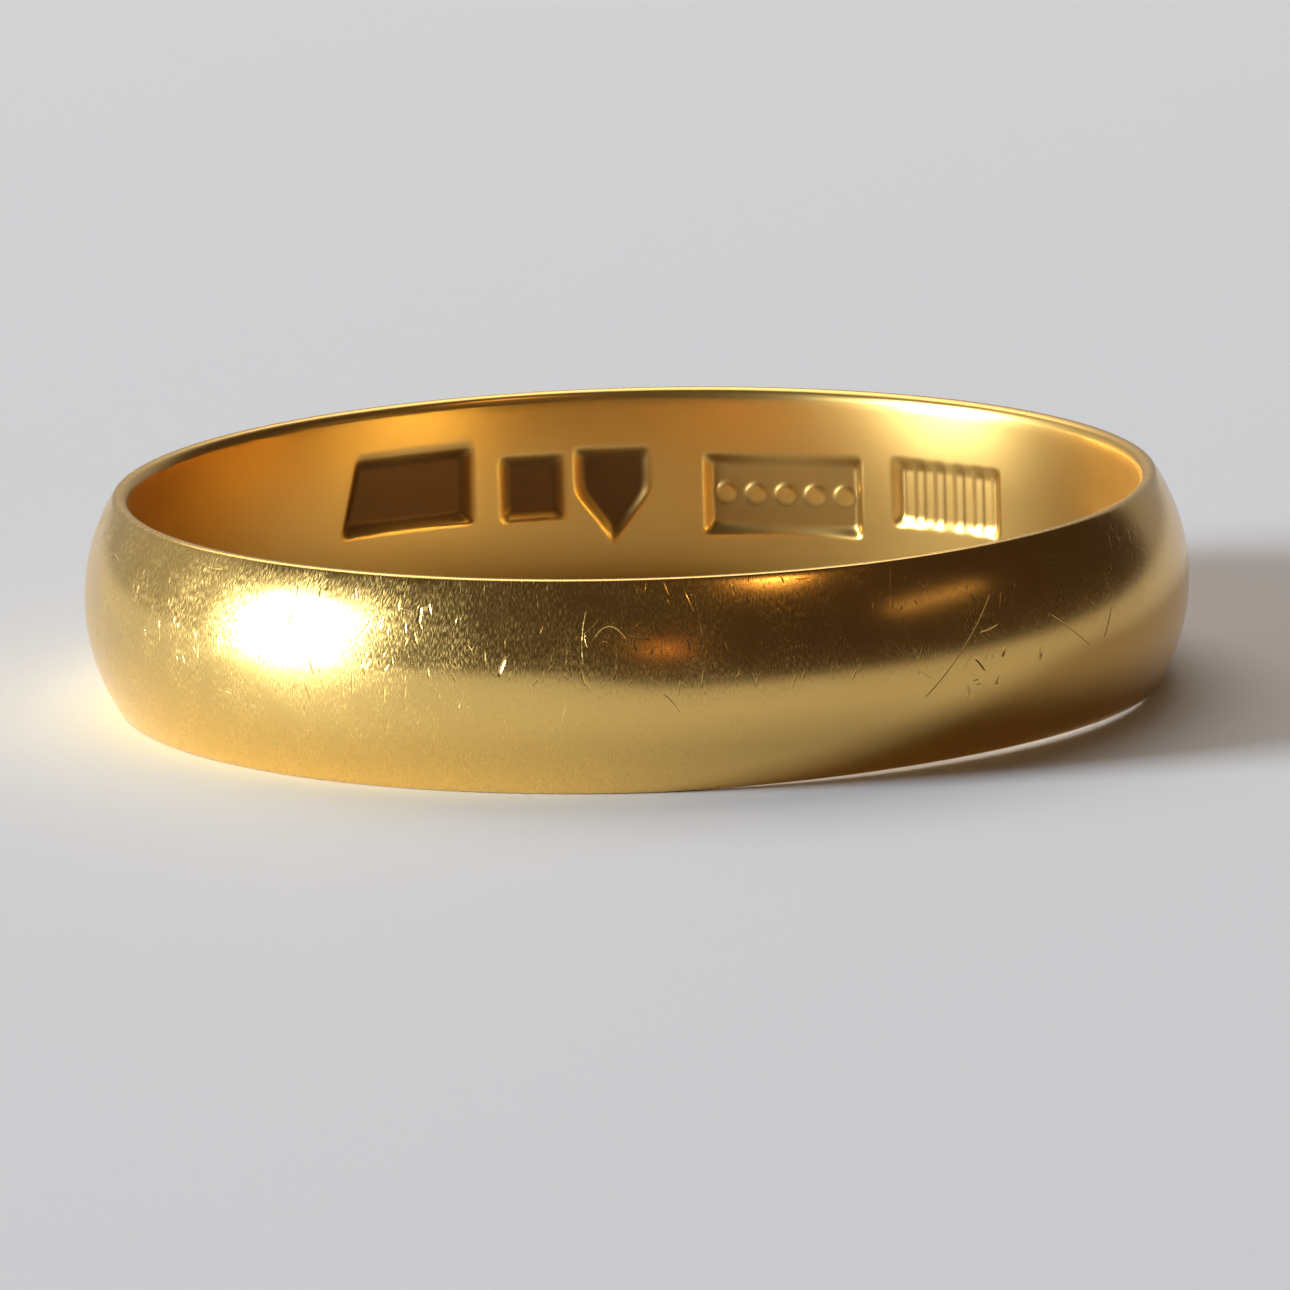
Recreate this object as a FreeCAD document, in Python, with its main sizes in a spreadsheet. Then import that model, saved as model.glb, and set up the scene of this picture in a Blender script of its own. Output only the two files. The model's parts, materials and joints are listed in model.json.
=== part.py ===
import FreeCAD, Part
import math
import os
import Sketcher

# A plain wedding band: one length of D-section gold wire, bent into a ring and closed with
# a hard-soldered joint, with five blank punch marks struck into the bore.
#
# Frame: the ring lies on one rim. +Z runs up the axis of the bore and the origin is the
# centre of the lower rim, so Z = 0 is the surface it rests on. The punch marks are at the
# back (+Y), the front is -Y and the soldered joint is on the right (+X).
# Millimetres throughout. Every size is a cell of the spreadsheet "dims".

DRIVING_SIZES = [
    # alias, value, what it is
    ("band_width", 4.0, "width of the band along the bore axis"),
    ("bore_radius", 9.5, "inside radius, the finger's size"),
    ("crown_thickness", 0.95, "wall at the middle of the width, where it is thickest"),
    ("edge_thickness", 0.34, "wall where the domed outside meets the rim"),
    ("inner_round", 0.2, "radius of the eased inner edges"),
    ("rim_round", 0.05, "radius of the worn outer edges of the rims"),
    ("seam_width", 0.08, "gap between the filed wire ends, filled by the solder"),
    ("mark_depth", 0.1, "depth of the three deep punch marks"),
    ("faint_mark_depth", 0.05, "depth of the two worn punch marks"),
    ("bar_mark_width", 2.5, "slanted bar: width at mid height"),
    ("bar_mark_height", 1.3, "slanted bar: height"),
    ("bar_mark_slant", 0.35, "slanted bar: how far its left end leans"),
    ("bar_mark_place", -4.55, "slanted bar: place round the bore from the back centre"),
    ("bar_mark_lift", 0.3, "slanted bar: centre above the middle of the width"),
    ("square_mark_side", 1.1, "square: side"),
    ("square_mark_place", -2.0, "square: place round the bore"),
    ("square_mark_lift", 0.15, "square: centre above the middle of the width"),
    ("shield_mark_width", 1.3, "shield: width"),
    ("shield_mark_height", 1.65, "shield: height to its point"),
    ("shield_mark_shoulder", 0.75, "shield: height of its straight sides"),
    ("shield_mark_place", -0.42, "shield: place round the bore"),
    ("shield_mark_lift", -0.05, "shield: centre above the middle of the width"),
    ("long_mark_width", 3.05, "long rectangle: width"),
    ("long_mark_height", 1.4, "long rectangle: height"),
    ("long_mark_place", 2.97, "long rectangle: place round the bore"),
    ("long_mark_lift", -0.08, "long rectangle: centre above the middle of the width"),
    ("short_mark_width", 2.45, "short rectangle: width"),
    ("short_mark_height", 1.15, "short rectangle: height"),
    ("short_mark_place", 6.6, "short rectangle: place round the bore"),
    ("short_mark_lift", 0.1, "short rectangle: centre above the middle of the width"),
]

# Sizes that follow from the driving ones, as spreadsheet expressions.
DOME_RISE = "(dims.crown_thickness - dims.edge_thickness)"
DOME_RADIUS = f"((dims.band_width / 2)^2 + {DOME_RISE}^2) / (2 * {DOME_RISE})"
DOME_CENTRE = f"(dims.bore_radius + dims.crown_thickness - {DOME_RADIUS})"
MID_HEIGHT = "dims.band_width / 2"
OUTSIDE_RADIUS = "(dims.bore_radius + dims.crown_thickness)"

START, END, CENTRE = 1, 2, 3        # point numbers of a sketch element
ORIGIN = (-1, 1)                    # a sketch's own origin point
HORIZONTAL_AXIS = -1


def make_sheet(doc):
    sheet = doc.addObject("Spreadsheet::Sheet", "dims")
    for row, (alias, value, note) in enumerate(DRIVING_SIZES, start=1):
        sheet.set(f"A{row}", note)
        sheet.set(f"B{row}", str(value))
        sheet.setAlias(f"B{row}", alias)
    doc.recompute()
    return sheet


def origin_plane(body, role):
    return next(plane for plane in body.Origin.OriginFeatures if plane.Role == role)


def new_body(doc, name):
    body = doc.addObject("PartDesign::Body", name)
    body.Label = name
    body.Placement = FreeCAD.Placement()
    return body


def new_sketch(body, name, role):
    sketch = body.newObject("Sketcher::SketchObject", name)
    sketch.AttachmentSupport = [(origin_plane(body, role), "")]
    sketch.MapMode = "FlatFace"
    return sketch


def bind(sketch, kind, first, second, size):
    """Adds a sized constraint whose value stays tied to the expression `size`."""
    value = sketch.evalExpression(size)
    index = sketch.addConstraint(Sketcher.Constraint(kind, *first, *second, value))
    sketch.setExpression(f"Constraints[{index}]", size)


def polygon(sketch, corners):
    """Closed outline through corners given as pairs of expressions."""
    points = [
        FreeCAD.Vector(sketch.evalExpression(x), sketch.evalExpression(y), 0)
        for x, y in corners
    ]
    sides = [
        sketch.addGeometry(Part.LineSegment(point, points[(number + 1) % len(points)]))
        for number, point in enumerate(points)
    ]
    for number, side in enumerate(sides):
        following = sides[(number + 1) % len(sides)]
        sketch.addConstraint(Sketcher.Constraint("Coincident", side, END, following, START))
        x, y = corners[number]
        bind(sketch, "DistanceX", ORIGIN, (side, START), x)
        bind(sketch, "DistanceY", ORIGIN, (side, START), y)


def rectangle(width, height, middle):
    return [
        (f"-{width} / 2", f"{middle} - {height} / 2"),
        (f"{width} / 2", f"{middle} - {height} / 2"),
        (f"{width} / 2", f"{middle} + {height} / 2"),
        (f"-{width} / 2", f"{middle} + {height} / 2"),
    ]


def arc(centre_x, centre_y, radius, start_angle, end_angle):
    circle = Part.Circle(FreeCAD.Vector(centre_x, centre_y, 0), FreeCAD.Vector(0, 0, 1), radius)
    return Part.ArcOfCircle(circle, start_angle, end_angle)


def line(x1, y1, x2, y2):
    return Part.LineSegment(FreeCAD.Vector(x1, y1, 0), FreeCAD.Vector(x2, y2, 0))


def wire_section(body):
    """The D section of the wire: straight bore wall, eased edges, flat rims, domed outside."""
    sketch = new_sketch(body, f"{body.Name}_section", "XZ_Plane")
    width, bore, ease, worn, dome, dome_x = [
        sketch.evalExpression(size)
        for size in (
            "dims.band_width", "dims.bore_radius", "dims.inner_round", "dims.rim_round",
            DOME_RADIUS, DOME_CENTRE,
        )
    ]
    middle = width / 2
    # the worn edge's centre is inside the dome by its own radius and under the rim by the same
    worn_x = dome_x + math.sqrt((dome - worn) ** 2 - (middle - worn) ** 2)
    lean = math.atan2(middle - worn, worn_x - dome_x)
    quarter = math.pi / 2

    outside = sketch.addGeometry(arc(dome_x, middle, dome, -lean, lean))
    top_worn = sketch.addGeometry(arc(worn_x, width - worn, worn, lean, quarter))
    top_rim = sketch.addGeometry(line(worn_x, width, bore + ease, width))
    top_ease = sketch.addGeometry(arc(bore + ease, width - ease, ease, quarter, 2 * quarter))
    wall = sketch.addGeometry(line(bore, width - ease, bore, ease))
    low_ease = sketch.addGeometry(arc(bore + ease, ease, ease, 2 * quarter, 3 * quarter))
    low_rim = sketch.addGeometry(line(bore + ease, 0, worn_x, 0))
    low_worn = sketch.addGeometry(arc(worn_x, worn, worn, 3 * quarter, 4 * quarter - lean))

    outline = [outside, top_worn, top_rim, top_ease, wall, low_ease, low_rim, low_worn]
    for element, following in zip(outline, outline[1:] + outline[:1]):
        sketch.addConstraint(Sketcher.Constraint("Tangent", element, END, following, START))
    sketch.addConstraint(Sketcher.Constraint("Vertical", wall))
    sketch.addConstraint(Sketcher.Constraint("Horizontal", top_rim))
    sketch.addConstraint(Sketcher.Constraint("Horizontal", low_rim))
    sketch.addConstraint(Sketcher.Constraint("PointOnObject", low_rim, START, HORIZONTAL_AXIS))
    bind(sketch, "DistanceX", ORIGIN, (wall, START), "dims.bore_radius")
    bind(sketch, "DistanceY", ORIGIN, (top_rim, START), "dims.band_width")
    bind(sketch, "DistanceX", ORIGIN, (outside, CENTRE), DOME_CENTRE)
    bind(sketch, "DistanceY", ORIGIN, (outside, CENTRE), MID_HEIGHT)
    bind(sketch, "Radius", (outside,), (), DOME_RADIUS)
    for eased in (top_ease, low_ease):
        bind(sketch, "Radius", (eased,), (), "dims.inner_round")
    for edge in (top_worn, low_worn):
        bind(sketch, "Radius", (edge,), (), "dims.rim_round")
    return sketch


def cut_seam(body):
    """The narrow parallel gap between the two filed ends of the wire, on the +X side."""
    sketch = new_sketch(body, "seam_gap_outline", "XY_Plane")
    polygon(sketch, [
        ("dims.bore_radius / 2", "-dims.seam_width / 2"),
        (f"{OUTSIDE_RADIUS} + dims.crown_thickness", "-dims.seam_width / 2"),
        (f"{OUTSIDE_RADIUS} + dims.crown_thickness", "dims.seam_width / 2"),
        ("dims.bore_radius / 2", "dims.seam_width / 2"),
    ])
    gap = body.newObject("PartDesign::Pocket", "seam_gap")
    gap.Profile = sketch
    gap.Type = "ThroughAll"
    gap.Reversed = True             # the sketch is on the rest face, the ring is above it
    return gap


def strike_mark(body, name, corners, depth):
    """Strikes one blank punch outward into the bore, from a sketch through the ring's axis."""
    sketch = new_sketch(body, f"{name}_outline", "XZ_Plane")
    polygon(sketch, corners)
    # turned about the bore axis, to the right round the back for a positive place
    sketch.AttachmentOffset = FreeCAD.Placement(
        FreeCAD.Vector(), FreeCAD.Rotation(FreeCAD.Vector(0, 1, 0), 1)
    )
    turn = f"-dims.{name}_place / dims.bore_radius * 180 / pi"
    sketch.setExpression("AttachmentOffset.Rotation.Angle", turn)
    mark = body.newObject("PartDesign::Pocket", name)
    mark.Profile = sketch
    mark.Type = "Length"
    mark.setExpression("Length", f"dims.bore_radius + dims.{depth}")
    return mark


def mark_outlines():
    """Name, outline and depth of each punch mark, in the order they stand round the bore."""
    middle = {
        name: f"({MID_HEIGHT} + dims.{name}_lift)"
        for name in ("bar_mark", "square_mark", "shield_mark", "long_mark", "short_mark")
    }
    bar_middle, shield_middle = middle["bar_mark"], middle["shield_mark"]
    bar = [
        ("-(dims.bar_mark_width + dims.bar_mark_slant) / 2",
         f"{bar_middle} - dims.bar_mark_height / 2"),
        ("dims.bar_mark_width / 2", f"{bar_middle} - dims.bar_mark_height / 2"),
        ("dims.bar_mark_width / 2", f"{bar_middle} + dims.bar_mark_height / 2"),
        ("-(dims.bar_mark_width - dims.bar_mark_slant) / 2",
         f"{bar_middle} + dims.bar_mark_height / 2"),
    ]
    shield_top = f"{shield_middle} + dims.shield_mark_height / 2"
    shield_waist = f"{shield_top} - dims.shield_mark_shoulder"
    shield = [
        ("0 * dims.shield_mark_width", f"{shield_middle} - dims.shield_mark_height / 2"),
        ("dims.shield_mark_width / 2", shield_waist),
        ("dims.shield_mark_width / 2", shield_top),
        ("-dims.shield_mark_width / 2", shield_top),
        ("-dims.shield_mark_width / 2", shield_waist),
    ]
    square = rectangle("dims.square_mark_side", "dims.square_mark_side", middle["square_mark"])
    long = rectangle("dims.long_mark_width", "dims.long_mark_height", middle["long_mark"])
    short = rectangle("dims.short_mark_width", "dims.short_mark_height", middle["short_mark"])
    return [
        ("bar_mark", bar, "mark_depth"),
        ("square_mark", square, "mark_depth"),
        ("shield_mark", shield, "mark_depth"),
        ("long_mark", long, "faint_mark_depth"),
        ("short_mark", short, "faint_mark_depth"),
    ]


def require_cut(doc, body, feature):
    """Recomputes and makes sure that a pocket really took metal away."""
    before = feature.BaseFeature.Shape.Volume
    doc.recompute()
    removed = before - feature.Shape.Volume
    if removed <= 0:
        raise RuntimeError(f"{feature.Name} cuts nothing")
    print(f"{body.Label}: {feature.Name} removes {removed:.4f} mm3")


def make_band(doc):
    body = new_body(doc, "band")
    section = wire_section(body)
    bent_wire = body.newObject("PartDesign::Revolution", "bent_wire")
    bent_wire.Profile = section
    bent_wire.ReferenceAxis = (section, ["V_Axis"])
    bent_wire.Angle = 360
    doc.recompute()
    require_cut(doc, body, cut_seam(body))
    for name, corners, depth in mark_outlines():
        require_cut(doc, body, strike_mark(body, name, corners, depth))
    return body


def make_solder_seam(doc):
    """The sliver of hard solder, dressed flush with the wire, that fills the gap."""
    body = new_body(doc, "solder_seam")
    section = wire_section(body)
    fill = body.newObject("PartDesign::Pad", "solder_fill")
    fill.Profile = section
    fill.Midplane = True
    fill.setExpression("Length", "dims.seam_width")
    doc.recompute()
    return body


def check(doc, bodies):
    faults = [
        item.Name for item in doc.Objects
        if {"Invalid", "Error"} & set(item.State)
    ]
    if faults:
        raise RuntimeError(f"failed objects: {faults}")
    for body in bodies:
        if body.Shape.isNull() or not body.Shape.isValid() or len(body.Shape.Solids) != 1:
            raise RuntimeError(f"{body.Label} is not one valid solid")


def export(bodies):
    os.makedirs("parts", exist_ok=True)
    for body in bodies:
        body.Shape.exportStep(f"parts/{body.Label}.step")
        box = body.Shape.BoundBox
        print(f"{body.Label}: {body.Shape.Volume:.4f} mm3, "
              f"{box.XLength:.3f} x {box.YLength:.3f} x {box.ZLength:.3f} mm")


def main():
    doc = FreeCAD.newDocument("wedding_band")
    make_sheet(doc)
    bodies = [make_band(doc), make_solder_seam(doc)]
    doc.recompute()
    check(doc, bodies)
    export(bodies)


main()
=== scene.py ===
import json
import math

import bpy
from mathutils import Matrix, Vector


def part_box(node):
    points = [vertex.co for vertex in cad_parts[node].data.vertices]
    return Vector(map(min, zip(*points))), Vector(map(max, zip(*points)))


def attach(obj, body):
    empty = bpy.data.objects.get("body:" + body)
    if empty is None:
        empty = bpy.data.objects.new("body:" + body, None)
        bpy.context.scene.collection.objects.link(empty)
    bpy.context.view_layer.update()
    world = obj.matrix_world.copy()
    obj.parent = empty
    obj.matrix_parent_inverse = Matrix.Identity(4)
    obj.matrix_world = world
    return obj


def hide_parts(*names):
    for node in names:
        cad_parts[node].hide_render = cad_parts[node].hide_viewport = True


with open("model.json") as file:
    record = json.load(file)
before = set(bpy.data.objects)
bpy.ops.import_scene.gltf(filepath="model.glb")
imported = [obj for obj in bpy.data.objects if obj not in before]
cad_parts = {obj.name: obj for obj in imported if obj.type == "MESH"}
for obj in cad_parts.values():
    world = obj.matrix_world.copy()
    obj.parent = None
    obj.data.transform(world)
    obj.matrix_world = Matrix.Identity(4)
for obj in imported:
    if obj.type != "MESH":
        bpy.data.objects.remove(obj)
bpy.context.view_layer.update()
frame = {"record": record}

mm = 0.001
fingerBore = next(mount["dims"] for mount in frame["record"]["mounts"]
                  if mount["name"] == "finger_bore")
bandLow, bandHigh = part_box("band")
seamLow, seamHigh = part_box("solder_seam")


def add(tree, kind, inputs=(), **settings):         # one node, with its settings, values and links
    node = tree.nodes.new(kind)
    for name, value in settings.items():
        setattr(node, name, value)
    for key, value in inputs.items() if isinstance(inputs, dict) else enumerate(inputs):
        if isinstance(value, bpy.types.Node):
            value = value.outputs[0]
        if isinstance(value, bpy.types.NodeSocket):
            tree.links.new(value, node.inputs[key])
        else:
            node.inputs[key].default_value = value
    return node


def linear(hexColour):                              # sRGB hex to linear RGBA
    channels = [int(hexColour[start:start + 2], 16) / 255 for start in (1, 3, 5)]
    return [c / 12.92 if c <= 0.04045 else ((c + 0.055) / 1.055) ** 2.4 for c in channels] + [1.0]


# The gold wire: a D section, flat against the finger and domed outside, bent into a ring.
wire = {
    "Width": bandHigh.z - bandLow.z,
    "Bore Radius": fingerBore["r_mm"] * mm,
    "Crown Thickness": bandHigh.x - fingerBore["r_mm"] * mm,
    "Edge Thickness": 0.34 * mm,                    # wall where the dome meets the rim
    "Inner Round": (bandHigh.z - bandLow.z - fingerBore["length_mm"] * mm) / 2,
    "Rim Round": 0.1 * mm,                          # worn outer edge
    "Half Gap": (seamHigh.y - seamLow.y) / 2,       # half the width of the solder line
    "Turn": math.tau,
    "Columns": 850,                                 # divisions round the ring
    "Seed": 3.0,
}
wireDetail = {
    "domeRows": 44, "rimRows": 4, "innerRows": 7, "plainRows": 6, "markedRows": 44,
    "markedHeight": (1.05 * mm, 3.05 * mm),         # the stretch of the wall with the punch marks
    "markedTurn": (40 / 360, 130 / 360),            # and where they are, in turns from +X
    "markedShare": 0.37,                            # of the columns, so struck edges stay crisp
    "weld": 1e-7,                                   # points nearer than this become one
    "wallShare": 0.1,                               # of the rim's thickness counts as bore wall
    "sharpFrom": 50,                                # degrees; steeper edges aren't shaded smooth
}
wear = {                                            # millimetres
    "domeWave": 0.006, "boreWave": 0.03, "waveLength": 3.0,     # unevenness of a hand-finished ring
    "dentDepth": 0.006, "dentSpacing": 1.6, "dentRadius": 0.35,
    "flare": 0.05, "flareFrom": 0.3, "flareOver": 1.7,      # wear has opened the bore's two ends
    # the dome leans back on the front right, and the lower rim is worn away; degrees from +X
    "lean": 0.047, "leanIn": (-102, -85), "leanOut": (-30, -4),
    "footWear": 0.1, "footFrom": -88.0, "footTo": -8.0,
}
deepScratches = {           # millimetres; the mesh carries their places, the metal draws them
    "margin": 0.25, "fade": 0.1,        # how far a place reaches to the sides, and how ends fade
    "steep": 0.36,                      # depth for each millimetre of half width
    "list": [           # along from the front, height, length, lean, bend, half width
        (-1.05, 3.0, 1.1, 3, -0.2, 0.022), (-0.53, 3.2, 0.7, 90, -2.4, 0.018),
        (-0.43, 2.52, 0.55, 3, 0.0, 0.024), (1.2, 2.9, 1.7, -3, 0.15, 0.018),
        (-2.53, 2.5, 0.4, 23, 0.0, 0.04), (-1.44, 1.53, 0.65, 14, 0.0, 0.018),
        (-2.5, 1.3, 0.6, -8, 0.1, 0.014), (-4.2, 3.35, 0.3, 4, 0.0, 0.045),
        (6.75, 1.9, 0.4, -39, 0.2, 0.035), (6.38, 2.25, 2.5, 45, 0.03, 0.012),
        (9.2, 2.15, 1.35, -54, 0.03, 0.012), (10.35, 2.1, 0.7, 34, 0.1, 0.016),
        (7.0, 0.45, 0.6, 90, -0.3, 0.016), (7.9, 0.25, 0.8, -61, 0.2, 0.016),
        (-8.2, 0.55, 0.9, 60, 0.6, 0.014), (-7.4, 0.35, 0.5, -70, -0.5, 0.014),
        (7.3, 2.05, 0.2, 20, 0.0, 0.045), (7.15, 1.5, 0.22, 30, 0.8, 0.045),
        (6.5, 1.4, 0.3, -25, 0.8, 0.04), (8.25, 1.85, 0.25, 15, 0.5, 0.045),
        (8.9, 1.42, 0.16, 0, 0.0, 0.045), (9.95, 1.35, 0.18, 10, 0.0, 0.045),
    ],
}
punches = {                                         # blank marks struck into the bore, millimetres
    "slope": 0.26,                                  # width of a struck edge
    "corner": 0.18,                                 # rounding of an outline
    "deep": 0.1, "faint": 0.05,
    "relief": 0.03,                                 # height of the pips and bars inside a mark
    "soft": 0.04,                                   # half the width of their edges
    "pips": {"pitch": 0.6, "size": 0.2},
    "bars": {"pitch": 0.48, "size": 0.13},
    "marks": [          # place round the bore from the back, and corners
        {"place": -4.55, "height": 2.3, "depth": "deep", "pattern": None,
         "corners": [(-1.425, -0.65), (1.25, -0.65), (1.25, 0.65), (-1.075, 0.65)]},
        {"place": -2.0, "height": 2.15, "depth": "deep", "pattern": None,
         "corners": [(-0.55, -0.55), (0.55, -0.55), (0.55, 0.55), (-0.55, 0.55)]},
        {"place": -0.42, "height": 1.95, "depth": "deep", "pattern": None,
         "corners": [(0, -0.825), (0.65, 0.075), (0.65, 0.825), (-0.65, 0.825), (-0.65, 0.075)]},
        {"place": 2.97, "height": 1.92, "depth": "faint", "pattern": "pips",
         "corners": [(-1.525, -0.7), (1.525, -0.7), (1.525, 0.7), (-1.525, 0.7)]},
        {"place": 6.6, "height": 2.1, "depth": "faint", "pattern": "bars",
         "corners": [(-1.225, -0.575), (1.225, -0.575), (1.225, 0.575), (-1.225, 0.575)]},
    ],
}


def outlineOfWire(tree, size):          # the D section's points in order, x = radius and y = height
    middle = add(tree, "ShaderNodeMath", (size["Width"], 2.0), operation="DIVIDE")
    rise = add(tree, "ShaderNodeMath", (size["Crown Thickness"], size["Edge Thickness"]),
               operation="SUBTRACT")
    square = add(tree, "ShaderNodeMath", (middle, middle), operation="MULTIPLY")
    square = add(tree, "ShaderNodeMath", (rise, rise, square), operation="MULTIPLY_ADD")
    twice = add(tree, "ShaderNodeMath", (rise, 2.0), operation="MULTIPLY")
    dome = add(tree, "ShaderNodeMath", (square, twice), operation="DIVIDE")
    crown = add(tree, "ShaderNodeMath", (size["Bore Radius"], size["Crown Thickness"]),
                operation="ADD")
    domeX = add(tree, "ShaderNodeMath", (crown, dome), operation="SUBTRACT")
    # the worn outer edges touch the dome from inside, this far from its centre
    reach = add(tree, "ShaderNodeMath", (dome, size["Rim Round"]), operation="SUBTRACT")
    drop = add(tree, "ShaderNodeMath", (middle, size["Rim Round"]), operation="SUBTRACT")
    lean = add(tree, "ShaderNodeMath", (drop, reach), operation="DIVIDE")
    lean = add(tree, "ShaderNodeMath", (lean,), operation="ARCSINE")
    cosine = add(tree, "ShaderNodeMath", (lean,), operation="COSINE")
    rimX = add(tree, "ShaderNodeMath", (cosine, reach, domeX), operation="MULTIPLY_ADD")
    rimTop = add(tree, "ShaderNodeMath", (size["Width"], size["Rim Round"]), operation="SUBTRACT")
    innerX = add(tree, "ShaderNodeMath", (size["Bore Radius"], size["Inner Round"]),
                 operation="ADD")
    innerTop = add(tree, "ShaderNodeMath", (size["Width"], size["Inner Round"]),
                   operation="SUBTRACT")
    innerLow = size["Inner Round"]
    right = math.pi / 2
    low = add(tree, "ShaderNodeMath", (lean, -1.0), operation="MULTIPLY")
    sweep = add(tree, "ShaderNodeMath", (lean, 2.0), operation="MULTIPLY")
    rest = add(tree, "ShaderNodeMath", (right, lean), operation="SUBTRACT")
    marksLow, marksHigh = wireDetail["markedHeight"]
    parts = []
    for rows, x, y, radius, start, turn in (
            (wireDetail["rimRows"], rimX, size["Rim Round"], size["Rim Round"], -right, rest),
            (wireDetail["domeRows"], domeX, middle, dome, low, sweep),
            (wireDetail["rimRows"], rimX, rimTop, size["Rim Round"], lean, rest),
            (wireDetail["innerRows"], innerX, innerTop, size["Inner Round"], right, right),
            (wireDetail["plainRows"], size["Bore Radius"], innerTop, None, None, marksHigh),
            (wireDetail["markedRows"], size["Bore Radius"], marksHigh, None, None, marksLow),
            (wireDetail["plainRows"], size["Bore Radius"], marksLow, None, None, innerLow),
            (wireDetail["innerRows"], innerX, innerLow, size["Inner Round"], math.pi, right)):
        place = add(tree, "ShaderNodeCombineXYZ", (x, y))
        if radius is None:              # a straight stretch of the wall, down to the last value
            end = add(tree, "ShaderNodeCombineXYZ", (x, turn))
            line = add(tree, "GeometryNodeCurvePrimitiveLine", {"Start": place, "End": end})
            parts.append(add(tree, "GeometryNodeResampleCurve", {"Curve": line, "Count": rows}))
        else:
            arc = add(tree, "GeometryNodeCurveArc", {
                "Resolution": rows, "Radius": radius, "Start Angle": start, "Sweep Angle": turn})
            parts.append(add(tree, "GeometryNodeTransform", {
                "Geometry": arc, "Translation": place}))
    outline = add(tree, "GeometryNodeJoinGeometry")
    for part in reversed(parts):        # the last link comes first in the result
        tree.links.new(part.outputs[0], outline.inputs[0])
    return outline


def straightWire(tree, outline, columnCount):   # x = radius, y = height, z = 0 to 1 along the wire
    points = add(tree, "GeometryNodeAttributeDomainSize", {"Geometry": outline}, component="CURVE")
    points = points.outputs["Point Count"]
    index = add(tree, "GeometryNodeInputIndex")
    place = add(tree, "GeometryNodeInputPosition")
    rows = add(tree, "ShaderNodeMath", (points, 1.0), operation="ADD")
    column = add(tree, "ShaderNodeMath", (index, 0.5), operation="ADD")
    column = add(tree, "ShaderNodeMath", (column, rows), operation="DIVIDE")
    column = add(tree, "ShaderNodeMath", (column,), operation="FLOOR")
    before = add(tree, "ShaderNodeMath", (column, rows), operation="MULTIPLY")
    row = add(tree, "ShaderNodeMath", (index, before), operation="SUBTRACT")
    last = add(tree, "ShaderNodeMath", (columnCount, 1.0), operation="SUBTRACT")
    share = add(tree, "ShaderNodeMath", (column, last), operation="DIVIDE")
    # columns stand closer where the marks are
    along = add(tree, "ShaderNodeFloatCurve", {"Value": share})
    first, then = wireDetail["markedTurn"]
    knot = first / (1 - then + first) * (1 - wireDetail["markedShare"])
    curve = along.mapping.curves[0]
    curve.points.new(knot, first)
    curve.points.new(knot + wireDetail["markedShare"], then)
    for point in curve.points:
        point.handle_type = "VECTOR"
    along.mapping.update()
    grid = add(tree, "GeometryNodeMeshGrid", {"Vertices X": columnCount, "Vertices Y": rows})
    disc = add(tree, "GeometryNodeMeshCircle", {"Vertices": points}, fill_type="NGON")
    joined = add(tree, "GeometryNodeJoinGeometry")
    for shape, number, distance, flip in (          # the skin and the two filed ends
            (grid, row, along, False), (disc, index, 0.0, False), (disc, index, 1.0, True)):
        number = add(tree, "ShaderNodeMath", (number, points), operation="FLOORED_MODULO")
        point = add(tree, "GeometryNodeSampleIndex", {
            "Geometry": outline, "Value": place, "Index": number},
            data_type="FLOAT_VECTOR", domain="POINT")
        shift = add(tree, "ShaderNodeCombineXYZ", {"Z": distance})
        point = add(tree, "ShaderNodeVectorMath", (point, shift), operation="ADD")
        skin = add(tree, "GeometryNodeSetPosition", {"Geometry": shape, "Position": point})
        if flip:
            skin = add(tree, "GeometryNodeFlipFaces", {"Mesh": skin})
        tree.links.new(skin.outputs[0], joined.inputs[0])
    return add(tree, "GeometryNodeMergeByDistance", {
        "Geometry": joined, "Distance": wireDetail["weld"]})


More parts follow.
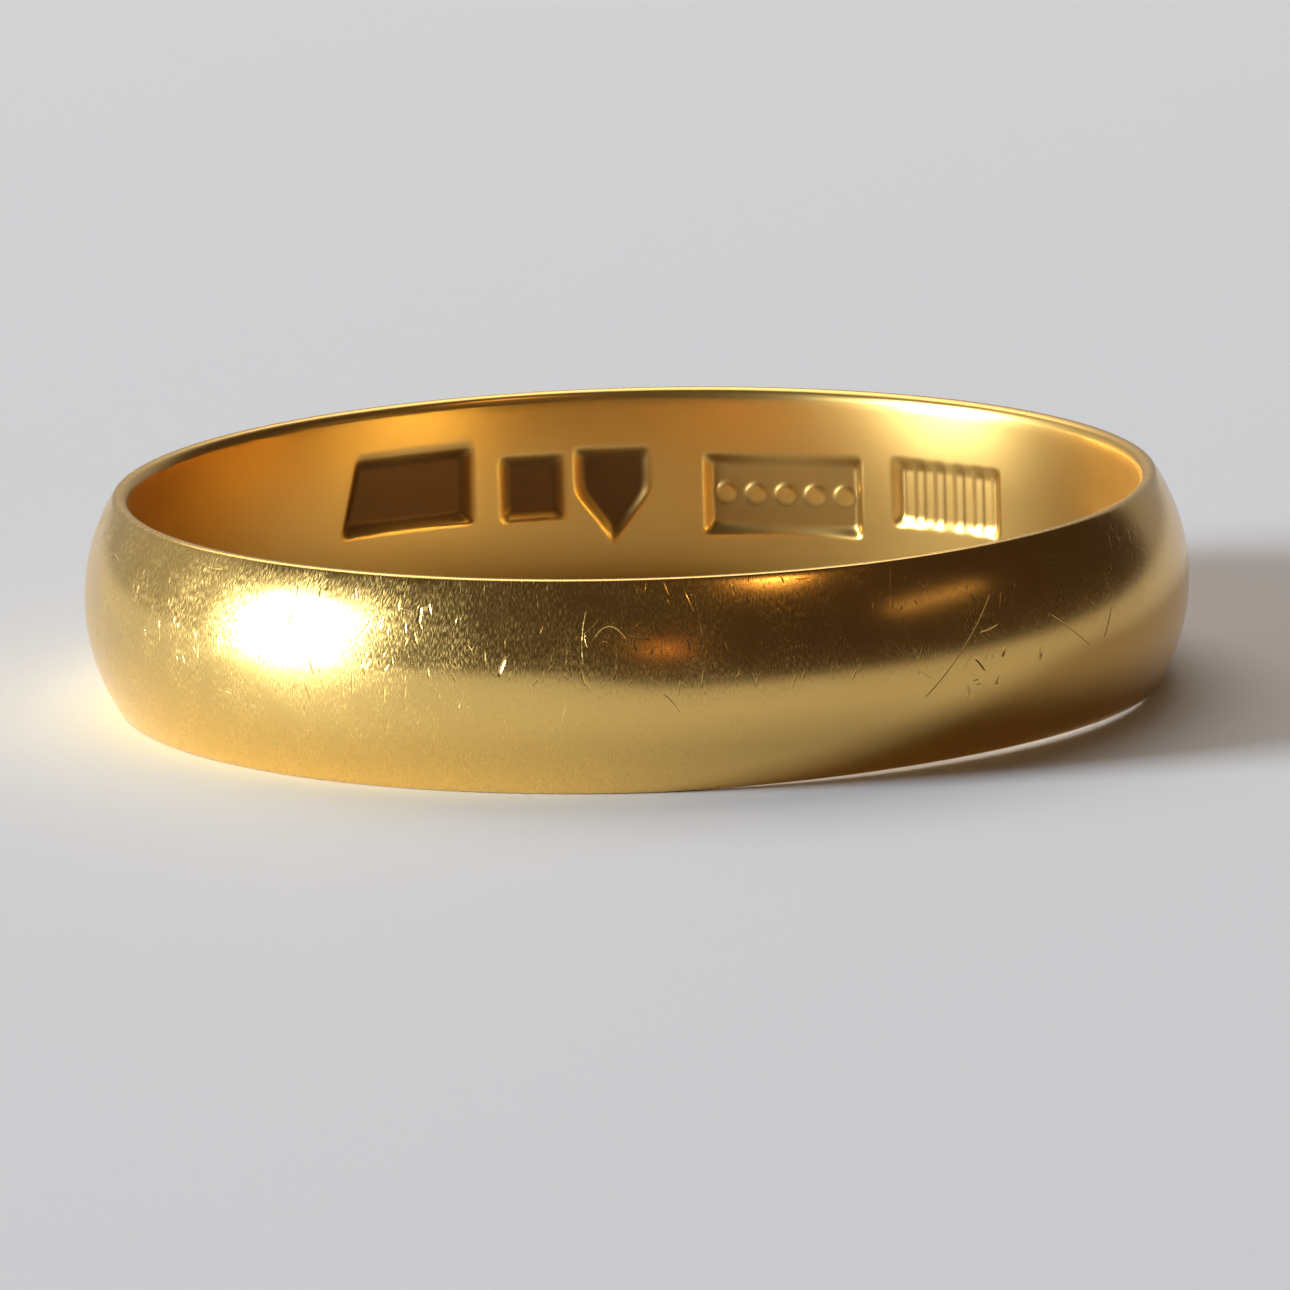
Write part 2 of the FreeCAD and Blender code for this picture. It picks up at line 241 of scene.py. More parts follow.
def markDepth(tree, mark, around, height):          # how deep one punch went and where, all in mm
    x = add(tree, "ShaderNodeMath", (around, mark["place"]), operation="SUBTRACT")
    y = add(tree, "ShaderNodeMath", (height, mark["height"]), operation="SUBTRACT")
    outside = -fingerBore["r_mm"]       # further inside than any outline reaches
    corners = mark["corners"]
    for (x1, y1), (x2, y2) in zip(corners, corners[1:] + corners[:1]):
        length = math.hypot(x2 - x1, y2 - y1)
        nx, ny = (y2 - y1) / length, (x1 - x2) / length
        side = add(tree, "ShaderNodeMath", (x, nx, -(nx * x1 + ny * y1)), operation="MULTIPLY_ADD")
        side = add(tree, "ShaderNodeMath", (y, ny, side), operation="MULTIPLY_ADD")
        outside = add(tree, "ShaderNodeMath", (outside, side, punches["corner"]),
                      operation="SMOOTH_MAX")
    mask = add(tree, "ShaderNodeMapRange", {
        "Value": outside, "From Min": -punches["slope"] / 2, "From Max": punches["slope"] / 2,
        "To Min": 1.0, "To Max": 0.0}, interpolation_type="SMOOTHSTEP")
    # a punch's face is flat, so it goes deeper into the round wall away from its middle
    sag = add(tree, "ShaderNodeMath", (x, x), operation="MULTIPLY")
    depth = add(tree, "ShaderNodeMath", (
        sag, 1 / (2 * fingerBore["r_mm"]), punches[mark["depth"]]), operation="MULTIPLY_ADD")
    if mark["pattern"]:
        pitch, size = punches[mark["pattern"]]["pitch"], punches[mark["pattern"]]["size"]
        away = add(tree, "ShaderNodeMath", (x, pitch / 2), operation="PINGPONG")
        if mark["pattern"] == "pips":
            square = add(tree, "ShaderNodeMath", (y, y), operation="MULTIPLY")
            away = add(tree, "ShaderNodeMath", (away, away, square), operation="MULTIPLY_ADD")
            away = add(tree, "ShaderNodeMath", (away,), operation="SQRT")
        raised = add(tree, "ShaderNodeMapRange", {
            "Value": away, "From Min": size - punches["soft"], "From Max": size + punches["soft"],
            "To Min": 1.0, "To Max": 0.0}, interpolation_type="SMOOTHSTEP")
        depth = add(tree, "ShaderNodeMath", (raised, -punches["relief"], depth),
                    operation="MULTIPLY_ADD")
        # the relief is rubbed clean
        dirty = add(tree, "ShaderNodeMath", (1.0, raised), operation="SUBTRACT")
        dirty = add(tree, "ShaderNodeMath", (mask, dirty), operation="MULTIPLY")
        return add(tree, "ShaderNodeMath", (mask, depth), operation="MULTIPLY"), dirty
    return add(tree, "ShaderNodeMath", (mask, depth), operation="MULTIPLY"), mask


def scratchPlaces(tree, angle, height):   # at each point, how far it is across and past its scratch
    crown = bandHigh.x / mm
    front = 1.5 * math.pi               # in radians from +X
    along = add(tree, "ShaderNodeMath", (angle, crown, -front * crown), operation="MULTIPLY_ADD")
    flat = add(tree, "ShaderNodeCombineXYZ", (along, height))
    places = (0.0, 0.0, 0.0)
    for aside, middle, length, lean, bend, width in deepScratches["list"]:
        local = add(tree, "ShaderNodeVectorMath", (flat, (aside, middle, 0.0)),
                    operation="SUBTRACT")
        local = add(tree, "ShaderNodeVectorRotate", {"Vector": local, "Angle": math.radians(lean)},
                    rotation_type="Z_AXIS")
        across, run = add(tree, "ShaderNodeSeparateXYZ", (local,)).outputs[:2]
        bow = add(tree, "ShaderNodeMath", (run, run), operation="MULTIPLY")
        across = add(tree, "ShaderNodeMath", (bow, bend, across), operation="MULTIPLY_ADD")
        run = add(tree, "ShaderNodeMath", (run,), operation="ABSOLUTE")
        past = add(tree, "ShaderNodeMath", (run, length / 2), operation="SUBTRACT")
        beside = add(tree, "ShaderNodeMath", (across,), operation="ABSOLUTE")
        near = add(tree, "ShaderNodeMath", (beside, deepScratches["margin"]), operation="LESS_THAN")
        within = add(tree, "ShaderNodeMath", (past, deepScratches["fade"]), operation="LESS_THAN")
        here = add(tree, "ShaderNodeMath", (near, within), operation="MULTIPLY")
        across = add(tree, "ShaderNodeMath", (across, width), operation="DIVIDE")
        past = add(tree, "ShaderNodeMath", (past, deepScratches["fade"]), operation="DIVIDE")
        place = add(tree, "ShaderNodeCombineXYZ", (across, past, width * deepScratches["steep"]))
        places = add(tree, "ShaderNodeMix", {"Factor": here, 4: places, 5: place},
                     data_type="VECTOR")
        places = places.outputs[1]
    return places


def bentWire(tree, straight, size):     # strikes the marks, wears the outside and closes the ring
    radius, height, share = add(tree, "ShaderNodeSeparateXYZ", (
        add(tree, "GeometryNodeInputPosition"),)).outputs
    start = add(tree, "ShaderNodeMath", (size["Half Gap"], radius), operation="DIVIDE")
    start = add(tree, "ShaderNodeMath", (start,), operation="ARCSINE")
    sweep = add(tree, "ShaderNodeMath", (start, -2.0, size["Turn"]), operation="MULTIPLY_ADD")
    # the angle from +X at each point
    angle = add(tree, "ShaderNodeMath", (share, sweep, start), operation="MULTIPLY_ADD")
    cosine = add(tree, "ShaderNodeMath", (angle,), operation="COSINE")
    sine = add(tree, "ShaderNodeMath", (angle,), operation="SINE")
    outward = add(tree, "ShaderNodeCombineXYZ", (cosine, sine))

    around = add(tree, "ShaderNodeMath", (
        angle, -fingerBore["r_mm"], math.pi / 2 * fingerBore["r_mm"]), operation="MULTIPLY_ADD")
    heightInMm = add(tree, "ShaderNodeMath", (height, mm), operation="DIVIDE")
    struck, depth = 0.0, 0.0
    for mark in punches["marks"]:
        deep, mask = markDepth(tree, mark, around, heightInMm)
        depth = add(tree, "ShaderNodeMath", (depth, deep), operation="ADD")
        dark = punches[mark["depth"]] / punches["deep"]
        struck = add(tree, "ShaderNodeMath", (mask, dark, struck), operation="MULTIPLY_ADD")
    wall = add(tree, "ShaderNodeMath", (
        size["Edge Thickness"], wireDetail["wallShare"], size["Bore Radius"]),
               operation="MULTIPLY_ADD")
    inBore = add(tree, "ShaderNodeMath", (radius, wall), operation="LESS_THAN")
    depth = add(tree, "ShaderNodeMath", (depth, inBore), operation="MULTIPLY")
    struck = add(tree, "ShaderNodeMath", (struck, inBore), operation="MULTIPLY")

    # the surface waves a little, and the outside is dented
    onRing = add(tree, "ShaderNodeVectorMath", {0: outward, "Scale": radius}, operation="SCALE")
    up = add(tree, "ShaderNodeCombineXYZ", {"Z": height})
    onRing = add(tree, "ShaderNodeVectorMath", (onRing, up), operation="ADD")
    onRing = add(tree, "ShaderNodeVectorMath", {0: onRing, "Scale": 1 / mm}, operation="SCALE")
    waves = add(tree, "ShaderNodeTexNoise", {
        "Vector": onRing, "W": size["Seed"], "Scale": 1 / wear["waveLength"], "Detail": 1.0},
        noise_dimensions="4D")
    dents = add(tree, "ShaderNodeTexVoronoi", {
        "Vector": onRing, "W": size["Seed"], "Scale": 1 / wear["dentSpacing"]},
        voronoi_dimensions="4D")
    dents = add(tree, "ShaderNodeMapRange", {
        "Value": dents, "From Min": 0.0, "From Max": wear["dentRadius"] / wear["dentSpacing"],
        "To Min": -wear["dentDepth"], "To Max": 0.0}, interpolation_type="SMOOTHSTEP")
    worn = add(tree, "ShaderNodeMath", (waves, -wear["domeWave"], dents), operation="MULTIPLY_ADD")
    edge = add(tree, "ShaderNodeMath", (size["Bore Radius"], size["Edge Thickness"]),
               operation="ADD")
    edge = add(tree, "ShaderNodeMath", (edge, size["Rim Round"]), operation="SUBTRACT")
    onDome = add(tree, "ShaderNodeMath", (radius, edge), operation="GREATER_THAN")
    moved = add(tree, "ShaderNodeMath", (worn, onDome, depth), operation="MULTIPLY_ADD")
    worn = add(tree, "ShaderNodeMath", (waves, wear["boreWave"]), operation="MULTIPLY")
    moved = add(tree, "ShaderNodeMath", (worn, inBore, moved), operation="MULTIPLY_ADD")
    fromMiddle = add(tree, "ShaderNodeMath", (heightInMm, wire["Width"] / 2 / mm),
                     operation="SUBTRACT")
    fromMiddle = add(tree, "ShaderNodeMath", (fromMiddle,), operation="ABSOLUTE")
    opened = add(tree, "ShaderNodeMapRange", {
        "Value": fromMiddle, "From Min": wear["flareFrom"],
        "From Max": wear["flareFrom"] + wear["flareOver"]})
    opened = add(tree, "ShaderNodeMath", (opened, opened), operation="MULTIPLY")
    notDome = add(tree, "ShaderNodeMath", (1.0, onDome), operation="SUBTRACT")
    opened = add(tree, "ShaderNodeMath", (opened, notDome), operation="MULTIPLY")
    moved = add(tree, "ShaderNodeMath", (opened, wear["flare"], moved), operation="MULTIPLY_ADD")
    turned = add(tree, "ShaderNodeMath", (angle, -math.pi, math.pi), operation="WRAP")
    leaning = 1.0
    for (start, end), low, high in ((wear["leanIn"], 0.0, 1.0), (wear["leanOut"], 1.0, 0.0)):
        fade = add(tree, "ShaderNodeMapRange", {
            "Value": turned, "From Min": math.radians(start), "From Max": math.radians(end),
            "To Min": low, "To Max": high}, interpolation_type="SMOOTHSTEP")
        leaning = add(tree, "ShaderNodeMath", (leaning, fade), operation="MULTIPLY")
    leaning = add(tree, "ShaderNodeMath", (leaning, onDome), operation="MULTIPLY")
    heightTurn = add(tree, "ShaderNodeMath", (height, math.tau / wire["Width"]),
                     operation="MULTIPLY")
    # out below the middle, in above it
    bulge = add(tree, "ShaderNodeMath", (heightTurn,), operation="SINE")
    bulge = add(tree, "ShaderNodeMath", (bulge, wear["lean"]), operation="MULTIPLY")
    moved = add(tree, "ShaderNodeMath", (bulge, leaning, moved), operation="MULTIPLY_ADD")
    radius = add(tree, "ShaderNodeMath", (moved, mm, radius), operation="MULTIPLY_ADD")

    # part of the lower rim is worn short, which leaves a sliver of light under it
    footFrom, footTo = math.radians(wear["footFrom"]), math.radians(wear["footTo"])
    along = add(tree, "ShaderNodeMapRange", {
        "Value": turned, "From Min": footFrom, "From Max": footTo, "To Max": math.pi})
    foot = add(tree, "ShaderNodeMath", (along,), operation="SINE")
    foot = add(tree, "ShaderNodeMath", (foot, wear["footWear"] * mm), operation="MULTIPLY")
    left = add(tree, "ShaderNodeMath", (size["Width"], foot), operation="SUBTRACT")
    left = add(tree, "ShaderNodeMath", (left, size["Width"]), operation="DIVIDE")
    height = add(tree, "ShaderNodeMath", (height, left, foot), operation="MULTIPLY_ADD")

    place = add(tree, "ShaderNodeVectorMath", {0: outward, "Scale": radius}, operation="SCALE")
    up = add(tree, "ShaderNodeCombineXYZ", {"Z": height})
    place = add(tree, "ShaderNodeVectorMath", (place, up), operation="ADD")
    named = add(tree, "GeometryNodeStoreNamedAttribute", {
        "Geometry": straight, "Name": "struck", "Value": struck}, data_type="FLOAT", domain="POINT")
    named = add(tree, "GeometryNodeStoreNamedAttribute", {
        "Geometry": named, "Name": "scratch", "Value": scratchPlaces(tree, angle, heightInMm)},
        data_type="FLOAT_VECTOR", domain="POINT")
    bent = add(tree, "GeometryNodeSetPosition", {"Geometry": named, "Position": place})
    smooth = add(tree, "GeometryNodeSetShadeSmooth", {"Geometry": bent, "Shade Smooth": True})
    steep = add(tree, "GeometryNodeInputMeshEdgeAngle")
    steep = add(tree, "ShaderNodeMath", (steep, math.radians(wireDetail["sharpFrom"])),
                operation="GREATER_THAN")
    sharp = add(tree, "GeometryNodeSetShadeSmooth", {
        "Geometry": smooth, "Selection": steep, "Shade Smooth": False}, domain="EDGE")
    real = add(tree, "GeometryNodeRealizeInstances", {"Geometry": sharp})
    return add(tree, "GeometryNodeSetMaterial", {"Geometry": real, "Material": size["Metal"]})


def bentWireTree():
    tree = bpy.data.node_groups.new("bentWire", "GeometryNodeTree")
    tree.interface.new_socket("Geometry", in_out="OUTPUT", socket_type="NodeSocketGeometry")
    for name in wire:
        kind = "NodeSocketInt" if name == "Columns" else "NodeSocketFloat"
        tree.interface.new_socket(name, in_out="INPUT", socket_type=kind)
    tree.interface.new_socket("Metal", in_out="INPUT", socket_type="NodeSocketMaterial")
    size = add(tree, "NodeGroupInput").outputs
    straight = straightWire(tree, outlineOfWire(tree, size), size["Columns"])
    add(tree, "NodeGroupOutput", (bentWire(tree, straight, size),))
    return tree


def pieceFrom(tree, name, values):      # runs the tree and keeps its result as a plain mesh
    maker = bpy.data.objects.new(name + "Maker", bpy.data.meshes.new(name + "Maker"))
    bpy.context.scene.collection.objects.link(maker)
    modifier = maker.modifiers.new("shape", "NODES")
    modifier.node_group = tree
    for item in tree.interface.items_tree:
        if item.in_out == "INPUT":
            modifier[item.identifier] = values[item.name]
    made = maker.evaluated_get(bpy.context.evaluated_depsgraph_get())
    mesh = bpy.data.meshes.new_from_object(made)
    maker.modifiers.remove(modifier)
    bpy.data.objects.remove(maker)
    mesh.name = name
    mesh.materials.pop(index=0)         # the empty slot of the mesh it started from
    piece = bpy.data.objects.new(name, mesh)
    bpy.context.scene.collection.objects.link(piece)
    print(name, len(mesh.vertices), "vertices,", len(mesh.polygons), "faces")
    return piece


# 22 carat gold, drawn, bent and polished, then worn for years. It is a warm mirror blurred by
# countless fine scratches, most of them across the band, so that the light spreads sideways.
outsideGold = {
    "colour": "#F2CA75", "bore": "#F0C671",
    "paintedShadeRight": "#E1B769", "dirt": "#7A5A38",    # painted shade: darker, browner gold on the right side standing in for the darker reflection there; and dirt in the marks
    "roughness": 0.17, "boreRoughness": 0.31,
    "matted": 0.28, "struckRoughness": 0.2,     # added where fine scratches crowd, and in the marks
    "scratchDepth": 0.007, "hairDepth": 0.0006,     # millimetres
}
solderGold = {
    # the darker right-side colour is painted shade, as on the outside gold
    "colour": "#F3D58C", "bore": "#F0CC84", "paintedShadeRight": "#E3BF78", "dirt": "#7A5A38",
    "roughness": 0.2, "boreRoughness": 0.31,
    "matted": 0.3, "struckRoughness": 0.2, "scratchDepth": 0.006, "hairDepth": 0.0006,
}
scratches = {           # millimetres; real ones are finer, these are as fine as can show
    "hairWidth": 0.023, "hairLength": 0.11, "patch": 0.8, "sway": 0.45, "fade": 0.1,
    "patchFrom": 0.35, "patchTo": 0.65, "patchLeast": 0.4,          # how they crowd in patches
    "mattedFrom": 0.42, "mattedTo": 0.72,                           # where they make it matt
    "smoothFrom": 4.0, "roughFrom": -2.0, "smoothShare": 0.45,      # fewer on the ring's right; the same span also paints the right side's gold darker as painted shade
    "layers": [         # random ones: spacing, length, width, spread of the lean, turn
        (0.62, 0.45, 0.024, 0.8, 0.3), (0.45, 0.30, 0.020, 1.0, 1.1), (0.36, 0.22, 0.018, 1.6, 2.3),
        (0.95, 0.60, 0.020, 3.1, 0.7),
    ],
}


def groove(tree, local, bend, halfLength, width):   # a scratch that runs along Y, 1 at its bottom
    across, run = add(tree, "ShaderNodeSeparateXYZ", (local,)).outputs[:2]
    bow = add(tree, "ShaderNodeMath", (run, run), operation="MULTIPLY")
    across = add(tree, "ShaderNodeMath", (bow, bend, across), operation="MULTIPLY_ADD")
    across = add(tree, "ShaderNodeMath", (across,), operation="ABSOLUTE")
    run = add(tree, "ShaderNodeMath", (run,), operation="ABSOLUTE")
    run = add(tree, "ShaderNodeMath", (run, halfLength), operation="SUBTRACT")
    ends = add(tree, "ShaderNodeMapRange", {
        "Value": run, "From Min": -scratches["fade"], "From Max": 0.0,
        "To Min": 1.0, "To Max": 0.0})
    side = add(tree, "ShaderNodeMapRange", {
        "Value": across, "From Min": 0.0, "From Max": width, "To Min": 1.0, "To Max": 0.0})
    return add(tree, "ShaderNodeMath", (side, ends), operation="MULTIPLY")


def wornGold(name, look):
    material = bpy.data.materials.new(name)
    material.use_nodes = True
    tree = material.node_tree
    tree.nodes.clear()
    spot = add(tree, "ShaderNodeTexCoord").outputs["Object"]
    x, y, z = add(tree, "ShaderNodeSeparateXYZ", (spot,)).outputs
    # the ring unrolled: millimetres along from the front and up; its ends meet at the solder
    left = add(tree, "ShaderNodeMath", (x, -1.0), operation="MULTIPLY")
    front = add(tree, "ShaderNodeMath", (y, -1.0), operation="MULTIPLY")
    along = add(tree, "ShaderNodeMath", (front, left), operation="ARCTAN2")
    crown = bandHigh.x / mm
    along = add(tree, "ShaderNodeMath", (along, crown, -crown * math.pi / 2),
                operation="MULTIPLY_ADD")
    up = add(tree, "ShaderNodeMath", (z, mm), operation="DIVIDE")
    flat = add(tree, "ShaderNodeCombineXYZ", (along, up))
    level = add(tree, "ShaderNodeCombineXYZ", (x, y))
    radius = add(tree, "ShaderNodeVectorMath", (level,), operation="LENGTH").outputs["Value"]
    outside = add(tree, "ShaderNodeMapRange", {
        "Value": radius, "From Min": wire["Bore Radius"] + wire["Inner Round"],
        "From Max": wire["Bore Radius"] + wire["Edge Thickness"]})

    # fine scratches crowd in patches, and on the left half more than on the right
    patches = add(tree, "ShaderNodeTexNoise", {
        "Vector": flat, "Scale": 1 / scratches["patch"], "Detail": 3.0})
    crowded = add(tree, "ShaderNodeMapRange", {
        "Value": patches, "From Min": scratches["patchFrom"], "From Max": scratches["patchTo"],
        "To Min": scratches["patchLeast"], "To Max": 1.0})
    crowded = add(tree, "ShaderNodeMath", (crowded, outside), operation="MULTIPLY")
    leftSide = add(tree, "ShaderNodeMapRange", {
        "Value": x, "From Min": scratches["smoothFrom"] * mm,
        "From Max": scratches["roughFrom"] * mm})
    fewest = scratches["smoothShare"]
    many = add(tree, "ShaderNodeMath", (leftSide, 1.0 - fewest, fewest), operation="MULTIPLY_ADD")
    crowded = add(tree, "ShaderNodeMath", (crowded, many), operation="MULTIPLY")

    depth = 0.0
    for spacing, length, width, spread, turn in scratches["layers"]:
        spun = add(tree, "ShaderNodeVectorRotate", {"Vector": flat, "Angle": turn},
                   rotation_type="Z_AXIS")
        cells = add(tree, "ShaderNodeTexVoronoi", {"Vector": spun, "Scale": 1 / spacing},
                    voronoi_dimensions="2D")
        local = add(tree, "ShaderNodeVectorMath", (spun, cells.outputs["Position"]),
                    operation="SUBTRACT")
        leanChance, bendChance, deepChance = add(
            tree, "ShaderNodeSeparateColor", (cells.outputs["Color"],)).outputs
        lean = add(tree, "ShaderNodeMath", (leanChance, spread, -turn - spread / 2),
                   operation="MULTIPLY_ADD")
        local = add(tree, "ShaderNodeVectorRotate", {"Vector": local, "Angle": lean},
                    rotation_type="Z_AXIS")
        bend = add(tree, "ShaderNodeMath", (bendChance, 0.5), operation="SUBTRACT")
        halfLength = add(tree, "ShaderNodeMath", (deepChance, length / 2), operation="MULTIPLY")
        scratch = groove(tree, local, bend, halfLength, width)
        depth = add(tree, "ShaderNodeMath", (scratch, deepChance, depth), operation="MULTIPLY_ADD")
    places = add(tree, "ShaderNodeAttribute", attribute_name="scratch").outputs["Vector"]
    across, past, deep = add(tree, "ShaderNodeSeparateXYZ", (places,)).outputs
    across = add(tree, "ShaderNodeMath", (across,), operation="ABSOLUTE")
    side = add(tree, "ShaderNodeMath", (1.0, across), operation="SUBTRACT", use_clamp=True)
    ends = add(tree, "ShaderNodeMath", (past, -1.0), operation="MULTIPLY", use_clamp=True)
    groovePart = add(tree, "ShaderNodeMath", (side, ends), operation="MULTIPLY")
    deep = add(tree, "ShaderNodeMath", (deep, outside), operation="MULTIPLY")
    depth = add(tree, "ShaderNodeMath", (depth, crowded), operation="MULTIPLY")
    depth = add(tree, "ShaderNodeMath", (depth, look["scratchDepth"]), operation="MULTIPLY")
    depth = add(tree, "ShaderNodeMath", (groovePart, deep, depth), operation="MULTIPLY_ADD")

    aside = add(tree, "ShaderNodeMath", (patches, scratches["sway"], along),
                operation="MULTIPLY_ADD")
    stretch = add(tree, "ShaderNodeCombineXYZ", (aside, up))
    stretch = add(tree, "ShaderNodeVectorMath", (
        stretch, (1 / scratches["hairWidth"], 1 / scratches["hairLength"], 1.0)),
                  operation="MULTIPLY")
    hair = add(tree, "ShaderNodeTexNoise", {"Vector": stretch, "Scale": 1.0, "Detail": 2.0})
    hairs = add(tree, "ShaderNodeMath", (hair, crowded), operation="MULTIPLY")
    height = add(tree, "ShaderNodeMath", (hairs, look["hairDepth"]), operation="MULTIPLY")
    height = add(tree, "ShaderNodeMath", (height, depth), operation="SUBTRACT")
    bump = add(tree, "ShaderNodeBump", {"Height": height, "Strength": 1.0, "Distance": mm})

    matted = add(tree, "ShaderNodeMapRange", {
        "Value": hair, "From Min": scratches["mattedFrom"], "From Max": scratches["mattedTo"]})
    matted = add(tree, "ShaderNodeMath", (matted, crowded), operation="MULTIPLY")
    rough = add(tree, "ShaderNodeMapRange", {
        "Value": outside, "To Min": look["boreRoughness"], "To Max": look["roughness"]})
    rough = add(tree, "ShaderNodeMath", (matted, look["matted"], rough), operation="MULTIPLY_ADD")
    struck = add(tree, "ShaderNodeAttribute", attribute_name="struck").outputs["Fac"]
    rough = add(tree, "ShaderNodeMath", (struck, look["struckRoughness"], rough),
                operation="MULTIPLY_ADD")
    # painted shade: the gold on the ring's right side is painted darker and browner, standing in
    # for the darker reflection there
    colour = add(tree, "ShaderNodeMix", {
        "Factor": leftSide, 6: linear(look["paintedShadeRight"]), 7: linear(look["colour"])},
                 data_type="RGBA")
    colour = add(tree, "ShaderNodeMix", {
        "Factor": outside, 6: linear(look["bore"]), 7: colour.outputs[2]}, data_type="RGBA")
    colour = add(tree, "ShaderNodeMix", {
        "Factor": struck, 6: colour.outputs[2], 7: linear(look["dirt"])}, data_type="RGBA")
    shader = add(tree, "ShaderNodeBsdfPrincipled", {
        "Base Color": colour.outputs[2], "Metallic": 1.0, "Roughness": rough, "Normal": bump})
    add(tree, "ShaderNodeOutputMaterial", {"Surface": shader})
    return material


bentWireShape = bentWireTree()
goldWire = pieceFrom(bentWireShape, "goldWire", {
    **wire, "Metal": wornGold("wornYellowGold", outsideGold)})
solderLine = pieceFrom(bentWireShape, "solderLine", {      # the same section, across the gap
    **wire, "Half Gap": -wire["Half Gap"], "Turn": 0.0, "Columns": 6,
    "Metal": wornGold("dressedGoldSolder", solderGold)})
for piece, node, slot in ((goldWire, "band", "yellow_gold"),
                          (solderLine, "solder_seam", "gold_solder")):
    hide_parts(node)
    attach(piece, "root")
print("the wire is bent and soldered")


# A matte white card under it, a wide window low on the left and a soft light above and behind.
# The three small warm lamps only show as reflections in the dark right half.
card = {"colour": "#E1E4E7", "roughness": 0.7, "specular": 0.2, "half": 0.5}
lamps = {
    "window": {"turn": -77, "rise": 10, "away": 3.0, "size": (0.90, 1.56),
               "watts": 234.0, "colour": "#EAF4FF"},
    "overhead": {"turn": -165, "rise": 55, "away": 0.6, "size": (0.55, 0.45),
                 "watts": 1.6, "colour": "#FFF5EB"},
    "shelfLamp": {"turn": 36, "rise": 45, "away": 1.0, "size": (0.13, 0.09),
                  "watts": 0.4, "colour": "#FFC884"},
    "farLamp": {"turn": 6, "rise": 16, "away": 1.0, "size": (0.10, 0.05),
                "watts": 0.03, "colour": "#FFAC66"},
    "sideLamp": {"turn": 68, "rise": 21, "away": 1.0, "size": (0.40, 0.04),
                 "watts": 0.06, "colour": "#FFD8AC"},
}
room = {
    "front": "#463A31", "back": "#9E9C9C", "seen": "#CCCCCE", "from": 0.64, "to": 0.75,
    "leftward": 0.6,                    # the pale back wall comes round on the window's side
    "shade": "#41342C", "shadeTop": 0.9, "shadeFrom": 0.2, "shadeTo": 0.5,  # darker on the right
}


def towards(turn, rise):            # a direction seen from the ring: 0 is the front, 90 the right
    turn, rise = math.radians(turn), math.radians(rise)
    level = math.cos(rise)
    return Vector((math.sin(turn) * level, -math.cos(turn) * level, math.sin(rise)))


half = card["half"]
mesh = bpy.data.meshes.new("floorCard")
corners = [(-half, -half, 0), (half, -half, 0), (half, half, 0), (-half, half, 0)]
mesh.from_pydata(corners, [], [(0, 1, 2, 3)])
floorCard = bpy.data.objects.new("floorCard", mesh)
bpy.context.scene.collection.objects.link(floorCard)
matteCard = bpy.data.materials.new("matteWhiteCard")
matteCard.use_nodes = True
shader = matteCard.node_tree.nodes["Principled BSDF"]
shader.inputs["Base Color"].default_value = linear(card["colour"])
shader.inputs["Roughness"].default_value = card["roughness"]
shader.inputs["Specular IOR Level"].default_value = card["specular"]
mesh.materials.append(matteCard)

for name, lamp in lamps.items():
    light = bpy.data.lights.new(name, "AREA")
    light.shape = "RECTANGLE"
    light.size, light.size_y = lamp["size"]
    light.energy = lamp["watts"]
    light.color = linear(lamp["colour"])[:3]
    holder = bpy.data.objects.new(name, light)
    bpy.context.scene.collection.objects.link(holder)
    way = towards(lamp["turn"], lamp["rise"])
    holder.location = way * lamp["away"] + Vector((0, 0, wire["Width"] / 2))
    holder.rotation_euler = way.to_track_quat("Z", "Y").to_euler()

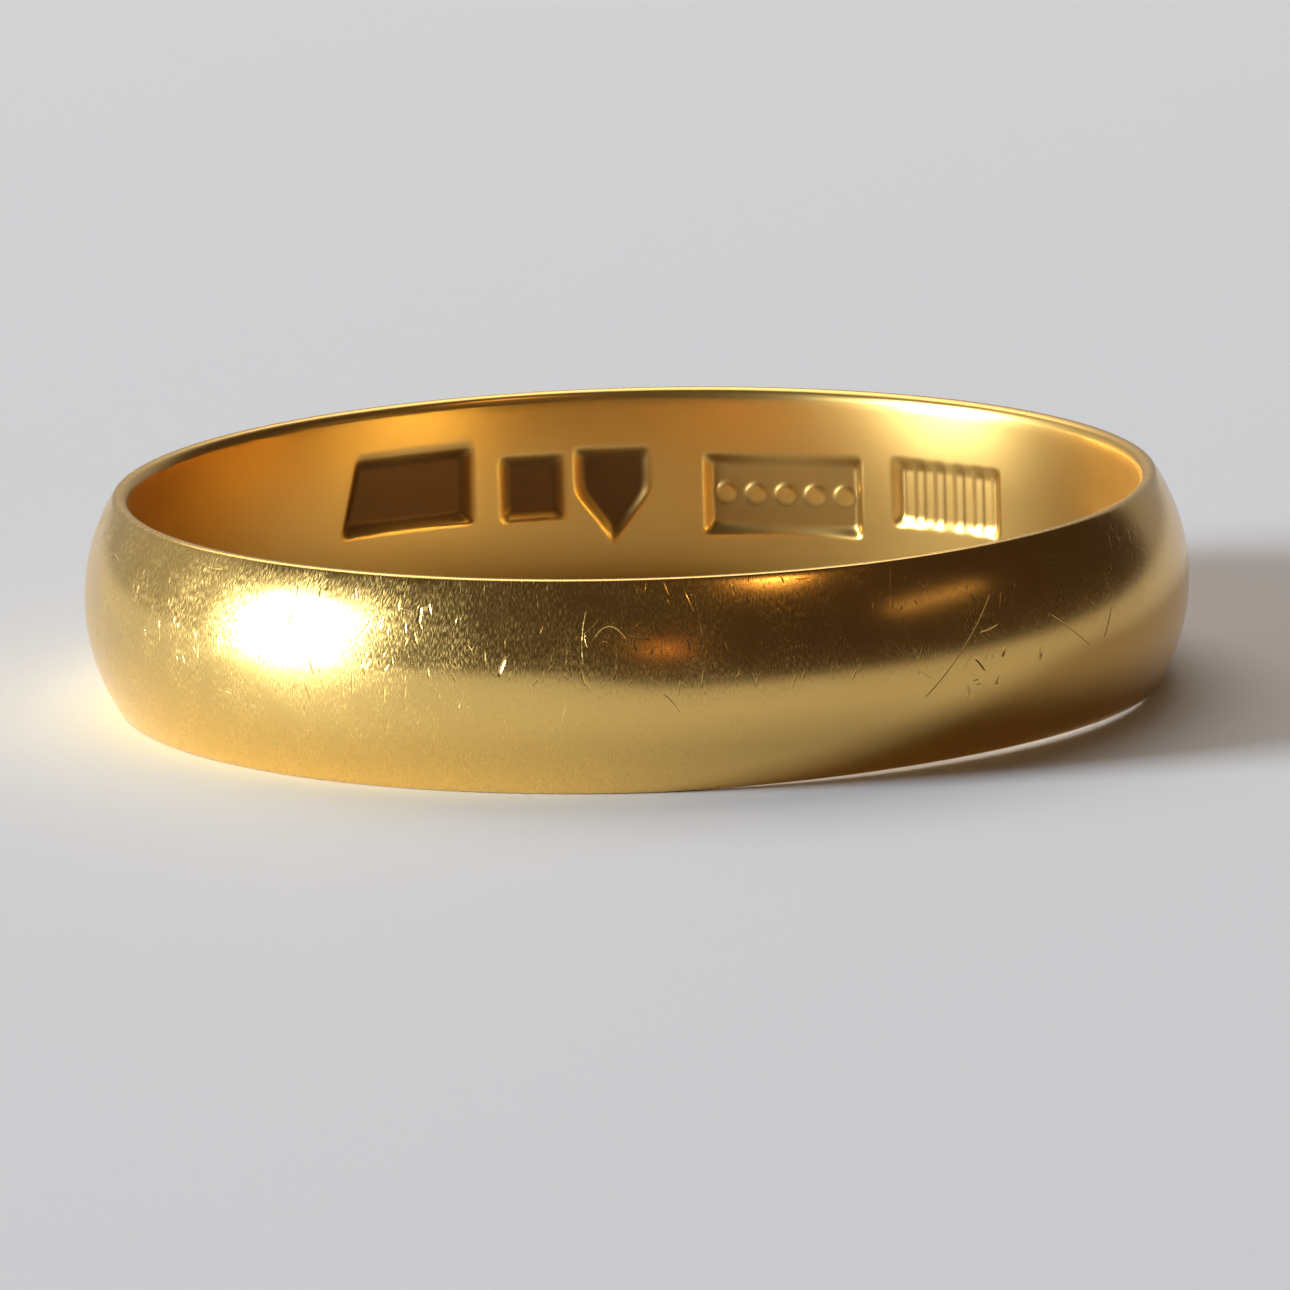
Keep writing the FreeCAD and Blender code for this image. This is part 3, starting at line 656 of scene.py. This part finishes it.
world = bpy.data.worlds.new("room")     # pale behind, dim in front, the card's grey to the camera
world.use_nodes = True
tree = world.node_tree
tree.nodes.clear()
way = add(tree, "ShaderNodeTexCoord").outputs["Generated"]
x, y, z = add(tree, "ShaderNodeSeparateXYZ", (way,)).outputs
leftward = add(tree, "ShaderNodeMath", (x, 0.0), operation="MINIMUM")
pale = add(tree, "ShaderNodeMath", (leftward, -room["leftward"], y), operation="MULTIPLY_ADD")
share = add(tree, "ShaderNodeMapRange", {
    "Value": pale, "From Min": room["from"], "From Max": room["to"]},
            interpolation_type="SMOOTHSTEP")
walls = add(tree, "ShaderNodeMix", {
    "Factor": share, 6: linear(room["front"]), 7: linear(room["back"])}, data_type="RGBA")
low = add(tree, "ShaderNodeMapRange", {
    "Value": z, "From Min": room["shadeTop"], "From Max": room["shadeTop"] / 2},
          interpolation_type="SMOOTHSTEP")
side = add(tree, "ShaderNodeMapRange", {
    "Value": x, "From Min": room["shadeFrom"], "From Max": room["shadeTo"]},
           interpolation_type="SMOOTHSTEP")
share = add(tree, "ShaderNodeMath", (1.0, share), operation="SUBTRACT")
low = add(tree, "ShaderNodeMath", (low, side), operation="MULTIPLY")
low = add(tree, "ShaderNodeMath", (low, share), operation="MULTIPLY")
walls = add(tree, "ShaderNodeMix", {
    "Factor": low, 6: walls.outputs[2], 7: linear(room["shade"])}, data_type="RGBA")
seen = add(tree, "ShaderNodeLightPath").outputs["Is Camera Ray"]
walls = add(tree, "ShaderNodeMix", {
    "Factor": seen, 6: walls.outputs[2], 7: linear(room["seen"])}, data_type="RGBA")
glow = add(tree, "ShaderNodeBackground", {"Color": walls.outputs[2], "Strength": 1.0})
add(tree, "ShaderNodeOutputWorld", {"Surface": glow})
bpy.context.scene.world = world
bpy.context.scene.view_settings.view_transform = "Standard"

shot = {
    "rise": 11.25, "roll": -1.56,       # degrees
    "distance": 0.290,
    "share": 0.786,                     # of the picture's width, taken up by the bore
    "rounding": 0.1,                    # and this much of its rounded edge, millimetres
    "near": 0.01, "far": 10.0,
    "aside": 0.125 * mm, "lower": 1.185 * mm,      # what it looks at, from the ring's middle
}
view = bpy.data.cameras.new("camera")
boreAcross = 2 * (fingerBore["r_mm"] + shot["rounding"]) * mm
view.lens = view.sensor_width * shot["share"] * shot["distance"] / boreAcross
view.clip_start, view.clip_end = shot["near"], shot["far"]
camera = bpy.data.objects.new("camera", view)
bpy.context.scene.collection.objects.link(camera)
back = towards(0, shot["rise"])
target = Vector((shot["aside"], 0, wire["Width"] / 2 - shot["lower"]))
turned = back.to_track_quat("Z", "Y").to_matrix().to_4x4()
turned = turned @ Matrix.Rotation(math.radians(shot["roll"]), 4, "Z")
camera.matrix_world = Matrix.Translation(target + back * shot["distance"]) @ turned
bpy.context.scene.camera = camera
print("the card, the lights and the camera are set")
